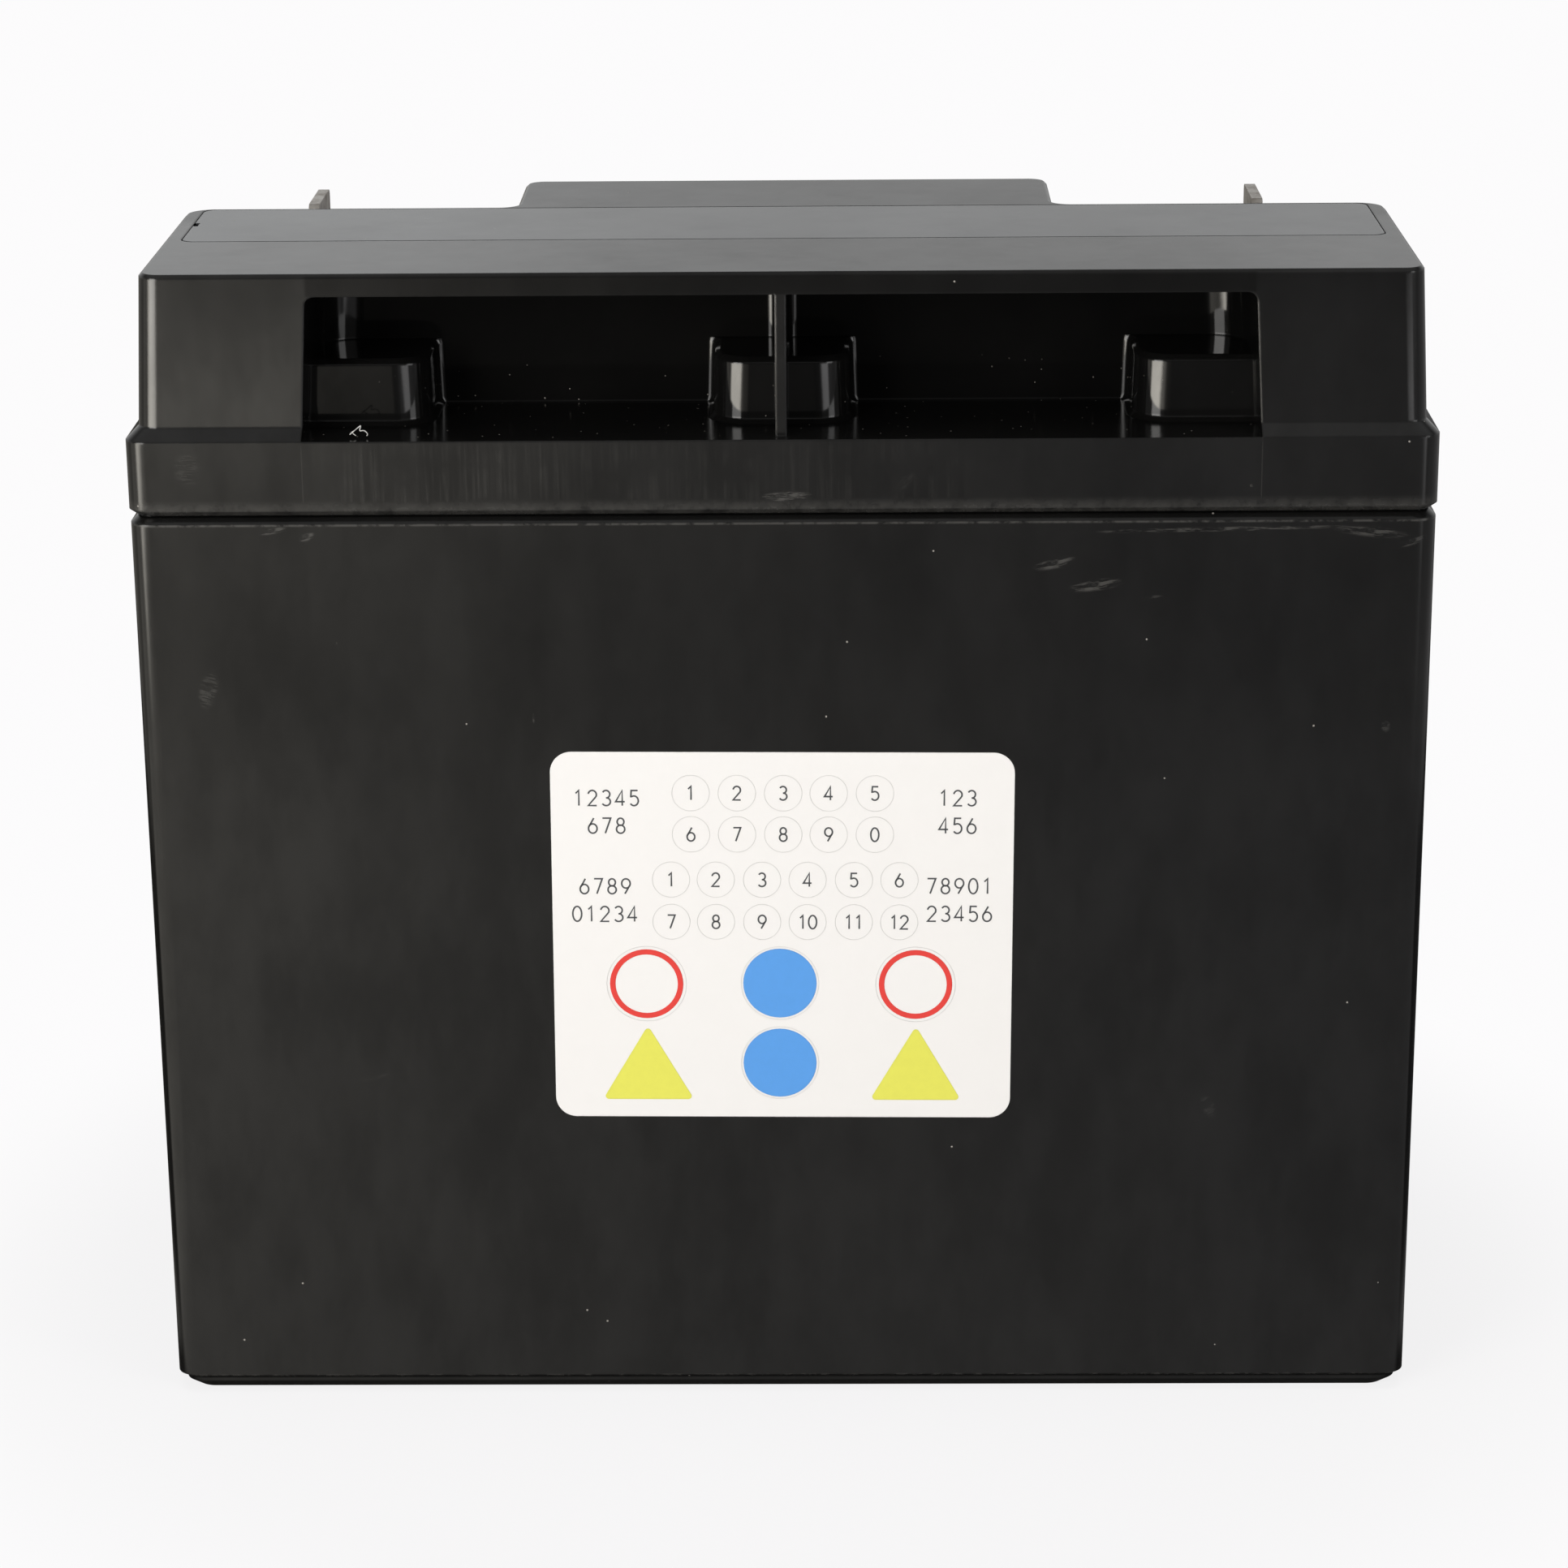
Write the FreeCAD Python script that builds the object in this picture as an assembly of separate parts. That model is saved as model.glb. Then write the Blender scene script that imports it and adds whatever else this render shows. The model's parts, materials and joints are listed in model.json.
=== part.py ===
import FreeCAD, Part
import math
import os

# Sealed lead acid battery of six cells, in millimetres.
# X runs along the battery, Y from the grip pocket side to the terminal side, Z up.
# The origin is the centre of the base, on the surface that the battery stands on.

os.makedirs("parts", exist_ok=True)

Vector = FreeCAD.Vector

# Overall size
length = 185.0
depth = 80.0
height = 170.0
corner_radius = 3.0
inner_corner = 1.5

# Container: the jar that holds the cells
container_wall = 3.2
container_floor = 3.2
container_inset = 0.12
container_draft = 0.1
rim_drop = 34.3
rim_bevel = 0.9
neck_rise = 7.3
foot_step_height = 2.8
foot_step_in = 1.1
foot_bevel = 0.8
foot_edge = 1.3
partition_wall = 1.8
cell_count = 6

# Cover: skirt, chamfer and drafted upper part
joint_gap = 0.3
skirt_depth = 10.75
skirt_lip = 1.5
skirt_bevel = 0.8
chamfer_rise = 1.7
chamfer_in = 1.7
upper_draft = 0.96
top_bevel = 0.45
cover_wall = 2.4
deck_thickness = 3.0

# Tongue and groove joint between the cover and the container
cement_gap = 0.15
inner_lip = 1.5
lip_reach = 4.0
seal_height = 0.8
cover_partition = 2.0

# Grip pocket in the front of the cover, with its rib and four bosses
pocket_end_margin = 25.1
pocket_end_draft = 1.0
pocket_roof = 3.15
pocket_depth = 25.0
pocket_wall = 2.2
pocket_corner = 6.0
pocket_mouth_corner = 1.4
mouth_corner_end_gap = 1.0
rib_thickness = 1.6
rib_root = 1.5
rib_setback = 0.5
boss_height = 9.45
boss_width = 17.3
centre_boss_width = 9.9
boss_depth = 14.6
boss_corner = 5.0
boss_root = 1.2
boss_draft = 0.3
boss_bevel = 0.8
boss_flare = 0.7

# Terminal corners at the rear and the tongue between them
terminal_corner_length = 52.2
terminal_corner_depth = 25.3
deck_rear_corner = 4.0
tongue_root = 3.0
tongue_corner = 2.8
shelf_rise = 1.55

# Vent lid and the channel that holds the valves
lid_end_margin = 5.1
lid_rear_margin = 0.7
lid_width = 26.2
lid_thickness = 1.8
lid_corner = 2.0
lid_gap = 0.2
lid_ledge = 3.0
vent_notch_length = 2.4
vent_notch_depth = 0.7
vent_notch_y = 1.6
channel_corner = 2.0
channel_wall = 1.8
neck_height = 7.0
neck_radius = 4.5
neck_bore = 2.5
cap_wall = 1.2
cap_top = 1.5
cap_foot_gap = 0.5

# Terminals: post, rubber ring, resin and tab
terminal_cell_setback = 3.567
terminal_rear_setback = 14.0
post_radius = 4.5
post_clearance = 0.2
post_sink = 3.0
well_half = 7.2
well_wall = 1.8
well_depth = 7.5
well_floor = 2.0
resin_sink = 0.7
ring_height = 2.6
tab_width = 14.2
tab_thickness = 1.6
tab_sink = 0.2
tab_foot_gap = 0.6
tab_corner = 1.0
tab_hole_radius = 3.25
tab_hole_drop = 5.2
tang_width = 7.0
tang_depth = 4.0

# Plates, straps and separators of one cell
positive_count = 4
positive_thickness = 2.4
negative_thickness = 1.6
cell_slack = 0.3
plate_side_gap = 0.9
lug_rise = 6.5
mat_overhang = 3.0
lug_width = 11.0
strap_width = 13.0
strap_drop = 12.5
strap_thickness = 5.5
weld_lug_thickness = 3.0
weld_lug_overhang = 2.0
weld_width = 7.0
weld_height = 5.0
weld_clearance = 0.1

# Sticker on the front of the container
label_width = 66.8
label_height = 56.3
label_corner = 3.1
label_thickness = 0.1
label_centre_x = -0.4
label_drop = 63.0
label_turn = -0.38

# Distance that a cutting solid runs past the face that it cuts
overrun = 5.0

# Distance that a solid runs into the one that it is joined to
joint_overlap = 1.0

# Straight edge left beside a rounded corner of an outline
corner_run = 0.04

# Heights worked out from the sizes above
rim_height = height - rim_drop
neck_top = rim_height + neck_rise
skirt_bottom = rim_height + joint_gap
skirt_top = skirt_bottom + skirt_depth
upper_bottom = skirt_top + chamfer_rise
shelf_height = upper_bottom + shelf_rise
groove_top = neck_top + seal_height
pocket_ceiling = height - pocket_roof
lip_bottom = groove_top - inner_lip - lip_reach
boss_top = skirt_top + boss_height
deck_underside = height - deck_thickness
lid_underside = height - lid_thickness
channel_floor = lid_underside - cap_top - neck_height
well_floor_top = shelf_height - well_depth
well_bottom = well_floor_top - well_floor
ring_top = well_floor_top + ring_height
resin_top = shelf_height - resin_sink
post_top = shelf_height - post_sink
tab_top = height - tab_sink
tab_shoulder = shelf_height + tab_foot_gap
strap_bottom = neck_top - strap_drop
strap_top = strap_bottom + strap_thickness
plate_top = strap_bottom - lug_rise
weld_middle = strap_bottom + strap_thickness / 2
label_centre_z = rim_height - label_drop

# Places along and across, worked out from the sizes above
terminal_y = depth / 2 - terminal_rear_setback
tongue_half = length / 2 - terminal_corner_length
deck_rear = depth / 2 - terminal_corner_depth
lid_half_length = length / 2 - lid_end_margin
lid_rear = deck_rear - lid_rear_margin
lid_front = lid_rear - lid_width
channel_middle = (lid_front + lid_rear) / 2
pocket_half_bottom = length / 2 - pocket_end_margin
pocket_half_top = pocket_half_bottom - pocket_end_draft
pocket_rear = -depth / 2 + pocket_depth
boss_front = pocket_rear - boss_depth
inner_half_x = length / 2 - container_inset - container_wall
inner_half_y = depth / 2 - container_inset - container_wall
lip_half_x = inner_half_x - cement_gap - inner_lip
lip_half_y = inner_half_y - cement_gap - inner_lip
cell_width = (2 * inner_half_x - (cell_count - 1) * partition_wall) / cell_count
cell_pitch = cell_width + partition_wall
terminal_x = inner_half_x - cell_width / 2 - terminal_cell_setback
negative_count = positive_count + 1
mat_count = 2 * positive_count
mat_thickness = (
    cell_width - 2 * cell_slack
    - positive_count * positive_thickness - negative_count * negative_thickness
) / mat_count
plate_pitch = positive_thickness + negative_thickness + 2 * mat_thickness
plate_half_width = inner_half_y - plate_side_gap


# Outlines and basic solids

def rounded_outline(corners, place):
    """Closed wire through corners given as (a, b, radius), put in space by place(a, b)."""
    count = len(corners)
    starts = []
    middles = []
    ends = []
    for index in range(count):
        a, b, radius = corners[index]
        here = Vector(a, b, 0)
        before = Vector(corners[index - 1][0], corners[index - 1][1], 0) - here
        after = Vector(corners[(index + 1) % count][0], corners[(index + 1) % count][1], 0) - here
        before.normalize()
        after.normalize()
        half_angle = before.getAngle(after) / 2
        trim = radius / math.tan(half_angle)
        inward = before + after
        inward.normalize()
        starts.append(here + before * trim)
        middles.append(here + inward * (radius / math.sin(half_angle) - radius))
        ends.append(here + after * trim)
    edges = []
    for index in range(count):
        start = place(starts[index].x, starts[index].y)
        end = place(ends[index].x, ends[index].y)
        following = place(starts[(index + 1) % count].x, starts[(index + 1) % count].y)
        if corners[index][2] > 0:
            middle = place(middles[index].x, middles[index].y)
            edges.append(Part.Arc(start, middle, end).toShape())
        edges.append(Part.LineSegment(end, following).toShape())
    return Part.Wire(edges)


def at_height(z):
    """Place an outline flat at height z."""
    return lambda x, y: Vector(x, y, z)


def across_x(x):
    """Place an outline of (y, z) points in the plane at x."""
    return lambda y, z: Vector(x, y, z)


def across_y(y):
    """Place an outline of (x, z) points in the plane at y."""
    return lambda x, z: Vector(x, y, z)


def rectangle(x0, y0, x1, y1, radius):
    """Corners of a rectangle whose four corners have one radius."""
    return [(x0, y0, radius), (x1, y0, radius), (x1, y1, radius), (x0, y1, radius)]


def prism(corners, place, direction):
    """Straight solid on an outline."""
    return Part.Face(rounded_outline(corners, place)).extrude(direction)


def block(x0, x1, y0, y1, z0, z1):
    """Box between two corners."""
    return Part.makeBox(x1 - x0, y1 - y0, z1 - z0, Vector(x0, y0, z0))


def centred_prism(half_x, half_y, radius, z0, z1):
    """Upright solid on a rectangle about the origin."""
    corners = rectangle(-half_x, -half_y, half_x, half_y, radius)
    return prism(corners, at_height(z0), Vector(0, 0, z1 - z0))


def side_between(low, high):
    """Face between an edge of the bottom outline and its partner in the top outline."""
    if isinstance(low.Curve, Part.Line):
        ends = [vertex.Point for vertex in low.Vertexes + high.Vertexes[::-1]]
        return Part.Face(Part.makePolygon(ends + ends[:1]))
    return Part.makeRuledSurface(low, high)


def tapered(bottom_corners, top_corners, z0, z1):
    """Solid between an outline at z0 and one at z1."""
    bottom = rounded_outline(bottom_corners, at_height(z0))
    top = rounded_outline(top_corners, at_height(z1))
    faces = [Part.Face(bottom), Part.Face(top)]
    faces += [side_between(low, high) for low, high in zip(bottom.Edges, top.Edges)]
    shell = Part.makeShell(faces)
    shell.sewShape()
    solid = Part.makeSolid(shell)
    if solid.Volume < 0:
        solid.reverse()
    return solid


def tapered_rectangle(bottom_in, top_in, z0, z1, radius=corner_radius):
    """Solid whose sides lie bottom_in and top_in inside the overall length and depth."""
    outlines = []
    for inset in (bottom_in, top_in):
        half_x = length / 2 - inset
        half_y = depth / 2 - inset
        outlines.append(rectangle(-half_x, -half_y, half_x, half_y, radius))
    return tapered(outlines[0], outlines[1], z0, z1)


def cylinder(radius, x, y, z0, z1):
    """Upright cylinder."""
    return Part.makeCylinder(radius, z1 - z0, Vector(x, y, z0))


def mirrored(shape):
    """The same shape on the other side of the middle of the length."""
    return shape.mirror(Vector(0, 0, 0), Vector(1, 0, 0))


def both_sides(shape):
    """The shape and its mirror image."""
    return [shape, mirrored(shape)]


def bevelled_at(shape, size, z):
    """The shape with every edge that runs level at height z broken by a bevel."""
    level = [edge for edge in shape.Edges if lies_at_height(edge, z)]
    return shape.makeChamfer(size, level)


def lies_at_height(edge, z):
    """True for an edge that runs level at height z."""
    box = edge.BoundBox
    return abs(box.ZMin - z) < 1e-4 and abs(box.ZMax - z) < 1e-4


# Container

def partition_middles():
    """X of the middle of each partition wall."""
    first = -inner_half_x + cell_width + partition_wall / 2
    return [first + index * cell_pitch for index in range(cell_count - 1)]


def cell_middles():
    """X of the middle of each cell."""
    first = -inner_half_x + cell_width / 2
    return [first + index * cell_pitch for index in range(cell_count)]


def container_inset_at(z):
    """Distance of the container's outer face inside the overall size, at height z."""
    return container_inset + container_draft * (rim_height - z) / rim_height


def container_outside():
    """Outer form of the container up to its rim: walls, stepped foot and rounded pan."""
    step_inset = container_inset_at(foot_step_height)
    rim_bottom = rim_height - rim_bevel
    walls = tapered_rectangle(step_inset, container_inset, foot_step_height, rim_bottom)
    rim = tapered_rectangle(container_inset, container_inset + rim_bevel, rim_bottom, rim_height)
    pan_inset = step_inset + foot_step_in
    pan_top = foot_step_height - foot_bevel
    bevel = tapered_rectangle(pan_inset, step_inset, pan_top, foot_step_height)
    pan = centred_prism(length / 2 - pan_inset, depth / 2 - pan_inset, corner_radius, foot_edge, pan_top)
    foot = tapered_rectangle(pan_inset + foot_edge, pan_inset, 0, foot_edge)
    return walls.fuse([rim, bevel, pan, foot])


def container():
    """Jar with a neck for the cover's groove and five partitions with their weld holes."""
    neck_half_x = length / 2 - skirt_lip - cement_gap
    neck_half_y = depth / 2 - skirt_lip - cement_gap
    neck_bottom = rim_height - rim_bevel - container_wall
    neck = centred_prism(neck_half_x, neck_half_y, corner_radius - skirt_lip, neck_bottom, neck_top)
    body = container_outside().fuse(neck)
    inside = centred_prism(
        inner_half_x, inner_half_y, inner_corner, container_floor, neck_top + overrun)
    body = body.cut(inside)
    walls = []
    for x in partition_middles():
        walls.append(block(
            x - partition_wall / 2, x + partition_wall / 2,
            -inner_half_y - joint_overlap, inner_half_y + joint_overlap,
            container_floor - joint_overlap, neck_top))
    body = body.fuse(walls)
    holes = []
    for index, x in enumerate(partition_middles()):
        holes.append(weld_block(index, x, weld_clearance, partition_wall + overrun))
    return body.cut(holes).removeSplitter()


# Cover

def upper_inset_at(z):
    """Distance of the cover's upper walls inside the overall size, at height z."""
    share = (z - upper_bottom) / (height - upper_bottom)
    return chamfer_in + upper_draft * share


def cover_outside():
    """Outer form of the cover before anything is cut from it."""
    foot = tapered_rectangle(skirt_bevel, 0, skirt_bottom, skirt_bottom + skirt_bevel)
    skirt = centred_prism(length / 2, depth / 2, corner_radius, skirt_bottom + skirt_bevel, skirt_top)
    chamfer = tapered_rectangle(0, chamfer_in, skirt_top, upper_bottom)
    upper = tapered_rectangle(chamfer_in, upper_inset_at(height), upper_bottom, height)
    upper = upper.cut(both_sides(terminal_corner(0, shelf_height)))
    upper = bevelled_at(upper, top_bevel, height)
    return upper.fuse([chamfer, skirt, foot])


def terminal_corner(grow, bottom):
    """Space over one terminal shelf at the right rear, its walls moved out by grow."""
    outlines = []
    top = height + overrun
    for z in (bottom, top):
        draft = upper_draft * (height - z) / (height - upper_bottom)
        side = tongue_half + draft - grow
        rear = deck_rear + draft - grow
        end = length / 2 - upper_inset_at(z)
        back = depth / 2 - upper_inset_at(z)
        outside_x = length / 2 + overrun
        outside_y = depth / 2 + overrun
        if grow > 0:
            corners = rectangle(side, rear, outside_x, outside_y, 0)
        else:
            corners = [
                (side, rear, tongue_root), (end, rear, deck_rear_corner),
                (end, rear - deck_rear_corner - corner_run, 0),
                (outside_x, rear - deck_rear_corner - corner_run, 0),
                (outside_x, outside_y, 0), (side - tongue_corner - corner_run, outside_y, 0),
                (side - tongue_corner - corner_run, back, 0), (side, back, tongue_corner),
            ]
        outlines.append(corners)
    return tapered(outlines[0], outlines[1], bottom, top)


def pocket_half_at(z):
    """Half the width of the grip pocket at height z."""
    share = (z - skirt_top) / (pocket_ceiling - skirt_top)
    return pocket_half_bottom + (pocket_half_top - pocket_half_bottom) * share


def pocket_low_outline(z, recede):
    """Plan of one half of the pocket beside its two bosses, whose sides stand back by recede."""
    lean = boss_draft * (z - skirt_top) / boss_height + recede
    corner = boss_corner - recede
    root = boss_root + recede
    mouth = -depth / 2 - overrun
    front = boss_front + lean
    outer_side = pocket_half_bottom - boss_width + lean
    inner_side = centre_boss_width - lean
    return [
        (rib_thickness / 2, mouth, 0), (pocket_half_at(z), mouth, 0),
        (pocket_half_at(z), front, 0), (outer_side, front, corner),
        (outer_side, pocket_rear, root), (inner_side, pocket_rear, root),
        (inner_side, front, corner), (rib_thickness / 2, front, 0),
    ]


def pocket_high_outline(z):
    """Plan of one half of the pocket above its bosses."""
    mouth = -depth / 2 - overrun
    return [
        (rib_thickness / 2, mouth, 0), (pocket_half_at(z), mouth, 0),
        (pocket_half_at(z), pocket_rear, pocket_corner), (rib_thickness / 2, pocket_rear, rib_root),
    ]


def pocket_low_layer(z0, recede0, z1, recede1):
    """Open space beside the bosses between two heights."""
    return tapered(pocket_low_outline(z0, recede0), pocket_low_outline(z1, recede1), z0, z1)


def pocket_mouth_round():
    """Material that rounds the pocket's upper right corner, from its mouth to its rear corner."""
    low = pocket_ceiling - 2 * pocket_mouth_corner
    left = pocket_half_top - 2 * pocket_mouth_corner
    sharp = [
        (left, low, 0), (pocket_half_at(low), low, 0),
        (pocket_half_top, pocket_ceiling, 0), (left, pocket_ceiling, 0),
    ]
    rounded = sharp[:2] + [(pocket_half_top, pocket_ceiling, pocket_mouth_corner)] + sharp[3:]
    front = -depth / 2 - overrun
    run = Vector(0, pocket_rear - pocket_corner - mouth_corner_end_gap - front, 0)
    return prism(sharp, across_y(front), run).cut(prism(rounded, across_y(front), run))


def pocket_half():
    """Open space of the right half of the grip pocket."""
    flare_top = skirt_top + boss_flare
    bevel_foot = boss_top - boss_bevel
    layers = [
        pocket_low_layer(skirt_top, -boss_flare, flare_top, 0),
        pocket_low_layer(flare_top, 0, bevel_foot, 0),
        pocket_low_layer(bevel_foot, 0, boss_top, boss_bevel),
    ]
    high = tapered(
        pocket_high_outline(boss_top), pocket_high_outline(pocket_ceiling), boss_top, pocket_ceiling)
    return high.cut(pocket_mouth_round()).fuse(layers).removeSplitter()


def pocket_envelope(grow):
    """Block that holds the pocket with its walls, moved out by grow."""
    half = pocket_half_bottom + grow
    corners = rectangle(-half, -depth, half, pocket_rear + grow, pocket_corner)
    return prism(corners, at_height(skirt_top - grow), Vector(0, 0, height - skirt_top + grow))


def rib_setback_cut():
    """Space in front of the pocket's rib, which stands back from the mouth."""
    front = -depth / 2 + upper_inset_at(skirt_top) + rib_setback
    return block(
        -rib_thickness, rib_thickness, -depth / 2 - overrun, front, skirt_top, pocket_ceiling)


def channel_space(grow):
    """Valve channel under the vent lid, its walls and floor moved out by grow."""
    half = lid_half_length - lid_ledge + grow
    front = lid_front + lid_ledge - grow
    rear = lid_rear - lid_ledge + grow
    corners = rectangle(-half, front, half, rear, channel_corner)
    return prism(corners, at_height(channel_floor - grow), Vector(0, 0, height + grow - channel_floor))


def lid_outline_solid(grow, bottom, top):
    """Upright solid on the outline of the vent lid, moved out by grow."""
    half = lid_half_length - lid_gap + grow
    corners = rectangle(-half, lid_front + lid_gap - grow, half, lid_rear - lid_gap + grow, lid_corner)
    return prism(corners, at_height(bottom), Vector(0, 0, top - bottom))


def vent_neck(x):
    """Short tube that a valve cap sits on."""
    bottom = channel_floor - joint_overlap
    return cylinder(neck_radius, x, channel_middle, bottom, channel_floor + neck_height)


def vent_bore(x):
    """Hole from a cell up through its vent neck."""
    top = channel_floor + neck_height + overrun
    return cylinder(neck_bore, x, channel_middle, channel_floor - overrun, top)


def wall_groove():
    """Groove for the container's neck and partitions, and the open foot of the skirt."""
    outer_half_x = length / 2 - skirt_lip
    outer_half_y = depth / 2 - skirt_lip
    radius = corner_radius - skirt_lip
    ring = centred_prism(outer_half_x, outer_half_y, radius, skirt_bottom - overrun, groove_top)
    island = centred_prism(
        inner_half_x - cement_gap, inner_half_y - cement_gap, radius, lip_bottom, groove_top + overrun)
    slots = []
    for x in partition_middles():
        half = partition_wall / 2 + cement_gap
        slots.append(block(x - half, x + half, -inner_half_y, inner_half_y, lip_bottom, groove_top))
    return ring.cut(island).fuse(slots)


def cover_core():
    """Hollow of the cover above the cells, in six rooms between the cover's partitions."""
    low = centred_prism(lip_half_x, lip_half_y, 0, lip_bottom, skirt_top)
    low_inset = upper_inset_at(upper_bottom) + cover_wall
    high_inset = upper_inset_at(deck_underside) + cover_wall
    high = tapered_rectangle(low_inset, high_inset, groove_top, deck_underside, 0)
    core = high.fuse(low)
    kept = [pocket_envelope(pocket_wall), channel_space(channel_wall)]
    kept += both_sides(terminal_corner(cover_wall, shelf_height - cover_wall))
    kept += both_sides(terminal_well_outside())
    for x in partition_middles():
        fork = partition_wall / 2 + cement_gap + inner_lip
        fork_top = groove_top + cover_partition
        kept.append(block(x - fork, x + fork, -depth / 2, depth / 2, lip_bottom, fork_top))
        thin = cover_partition / 2
        kept.append(block(x - thin, x + thin, -depth / 2, depth / 2, lip_bottom, height))
    return core.cut(kept)


def terminal_well_outside():
    """Square socket under the right terminal shelf, joined to the rear wall."""
    half = well_half + well_wall
    left = terminal_x - half
    right = terminal_x + half
    return block(left, right, terminal_y - half, depth / 2, well_bottom, shelf_height)


def terminal_well_inside():
    """Well for the resin and the hole for the post, under the right terminal shelf."""
    well = terminal_block(well_half, well_floor_top, shelf_height + overrun)
    hole = cylinder(post_radius + post_clearance, terminal_x, terminal_y, lip_bottom, shelf_height)
    return well.fuse(hole)


def cover():
    """Moulded cover with pocket, terminal shelves, valve channel and grooves."""
    body = cover_outside()
    pocket = both_sides(pocket_half())
    body = body.cut(pocket + [rib_setback_cut()])
    body = body.cut([channel_space(0), lid_outline_solid(lid_gap, lid_underside, height + overrun)])
    body = body.cut([wall_groove(), cover_core()])
    body = body.cut(both_sides(terminal_well_inside()))
    body = body.fuse([vent_neck(x) for x in cell_middles()])
    body = body.cut([vent_bore(x) for x in cell_middles()])
    return body.removeSplitter()


def cover_seal():
    """Cement between the top of the container and the root of the cover's groove."""
    half_x = length / 2 - skirt_lip - cement_gap
    half_y = depth / 2 - skirt_lip - cement_gap
    ring = centred_prism(half_x, half_y, corner_radius - skirt_lip, neck_top, groove_top)
    inside = centred_prism(inner_half_x, inner_half_y, inner_corner, neck_top, groove_top)
    bars = []
    for x in partition_middles():
        half = partition_wall / 2
        bars.append(block(x - half, x + half, -inner_half_y, inner_half_y, neck_top, groove_top))
    return ring.cut(inside).fuse(bars).removeSplitter()


def vent_lid():
    """Flush strip over the valve channel, with a gas notch in its left end."""
    lid = lid_outline_solid(0, lid_underside, height)
    left = -lid_half_length + lid_gap
    notch = block(
        left - overrun, left + vent_notch_depth,
        vent_notch_y - vent_notch_length / 2, vent_notch_y + vent_notch_length / 2,
        lid_underside - overrun, height + overrun)
    return lid.cut(notch)


def valve_cap(x):
    """Rubber cap pushed over a vent neck, its top against the lid."""
    neck_top_height = channel_floor + neck_height
    foot = channel_floor + cap_foot_gap
    outside = cylinder(neck_radius + cap_wall, x, channel_middle, foot, lid_underside)
    inside = cylinder(neck_radius, x, channel_middle, channel_floor, neck_top_height)
    return outside.cut(inside)


# Terminals, all at the right and mirrored for the left

def terminal_block(half, z0, z1):
    """Square block about the right terminal's upright axis."""
    return block(terminal_x - half, terminal_x + half, terminal_y - half, terminal_y + half, z0, z1)


def terminal_post():
    """Lead post from the end strap up into the well, slotted for the tab's tang."""
    post = cylinder(post_radius, terminal_x, terminal_y, strap_top, post_top)
    return post.cut(tang_space())


def tang_space():
    """Space of the tab's tang inside the post."""
    return block(
        terminal_x - tab_thickness / 2, terminal_x + tab_thickness / 2,
        terminal_y - tang_width / 2, terminal_y + tang_width / 2,
        post_top - tang_depth, post_top)


def terminal_tab():
    """Flat upright tab with a bolt hole and a tang that is sunk in the post."""
    front = terminal_y - tab_width / 2
    rear = terminal_y + tab_width / 2
    tang_front = terminal_y - tang_width / 2
    tang_rear = terminal_y + tang_width / 2
    corners = [
        (tang_front, post_top - tang_depth, 0), (tang_rear, post_top - tang_depth, 0),
        (tang_rear, tab_shoulder, 0), (rear, tab_shoulder, tab_corner),
        (rear, tab_top, tab_corner), (front, tab_top, tab_corner),
        (front, tab_shoulder, tab_corner), (tang_front, tab_shoulder, 0),
    ]
    side = terminal_x - tab_thickness / 2
    plate = prism(corners, across_x(side), Vector(tab_thickness, 0, 0))
    hole = Part.makeCylinder(
        tab_hole_radius, tab_thickness + 2 * overrun,
        Vector(side - overrun, terminal_y, tab_top - tab_hole_drop), Vector(1, 0, 0))
    return plate.cut(hole)


def post_ring():
    """Rubber packing between the round post and the square well, on the floor of the well."""
    outside = terminal_block(well_half, well_floor_top, ring_top)
    return outside.cut(cylinder(post_radius, terminal_x, terminal_y, well_bottom, ring_top))


def post_resin():
    """Resin in the well above the packing, round the post and the tab's foot."""
    fill = terminal_block(well_half, ring_top, resin_top)
    post = cylinder(post_radius, terminal_x, terminal_y, well_bottom, post_top)
    return fill.cut([post, terminal_tab()])


# Cells

def lug_row(index, positive):
    """Y of the row of lugs: neighbouring cells stand turned about, so that their straps meet."""
    turned = index % 2 == 1
    return terminal_y if positive == turned else -terminal_y


def plate_middles(x, count):
    """X of the middle of each of count plates in the cell at x."""
    first = x - (count - 1) * plate_pitch / 2
    return [first + number * plate_pitch for number in range(count)]


def plate_with_lug(x, thickness, bottom, lug_y):
    """One plate with its lug up into the strap."""
    left_lug = lug_y - lug_width / 2
    right_lug = lug_y + lug_width / 2
    corners = [
        (-plate_half_width, bottom, 0), (plate_half_width, bottom, 0),
        (plate_half_width, plate_top, 0), (right_lug, plate_top, 0),
        (right_lug, strap_bottom, 0), (left_lug, strap_bottom, 0),
        (left_lug, plate_top, 0), (-plate_half_width, plate_top, 0),
    ]
    return prism(corners, across_x(x - thickness / 2), Vector(thickness, 0, 0))


def weld_side(index, positive):
    """Which partition a strap is welded to: 1 right, -1 left, 0 none, for an end terminal."""
    side = 1 if positive else -1
    target = index + side
    return side if 0 <= target < cell_count else 0


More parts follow.
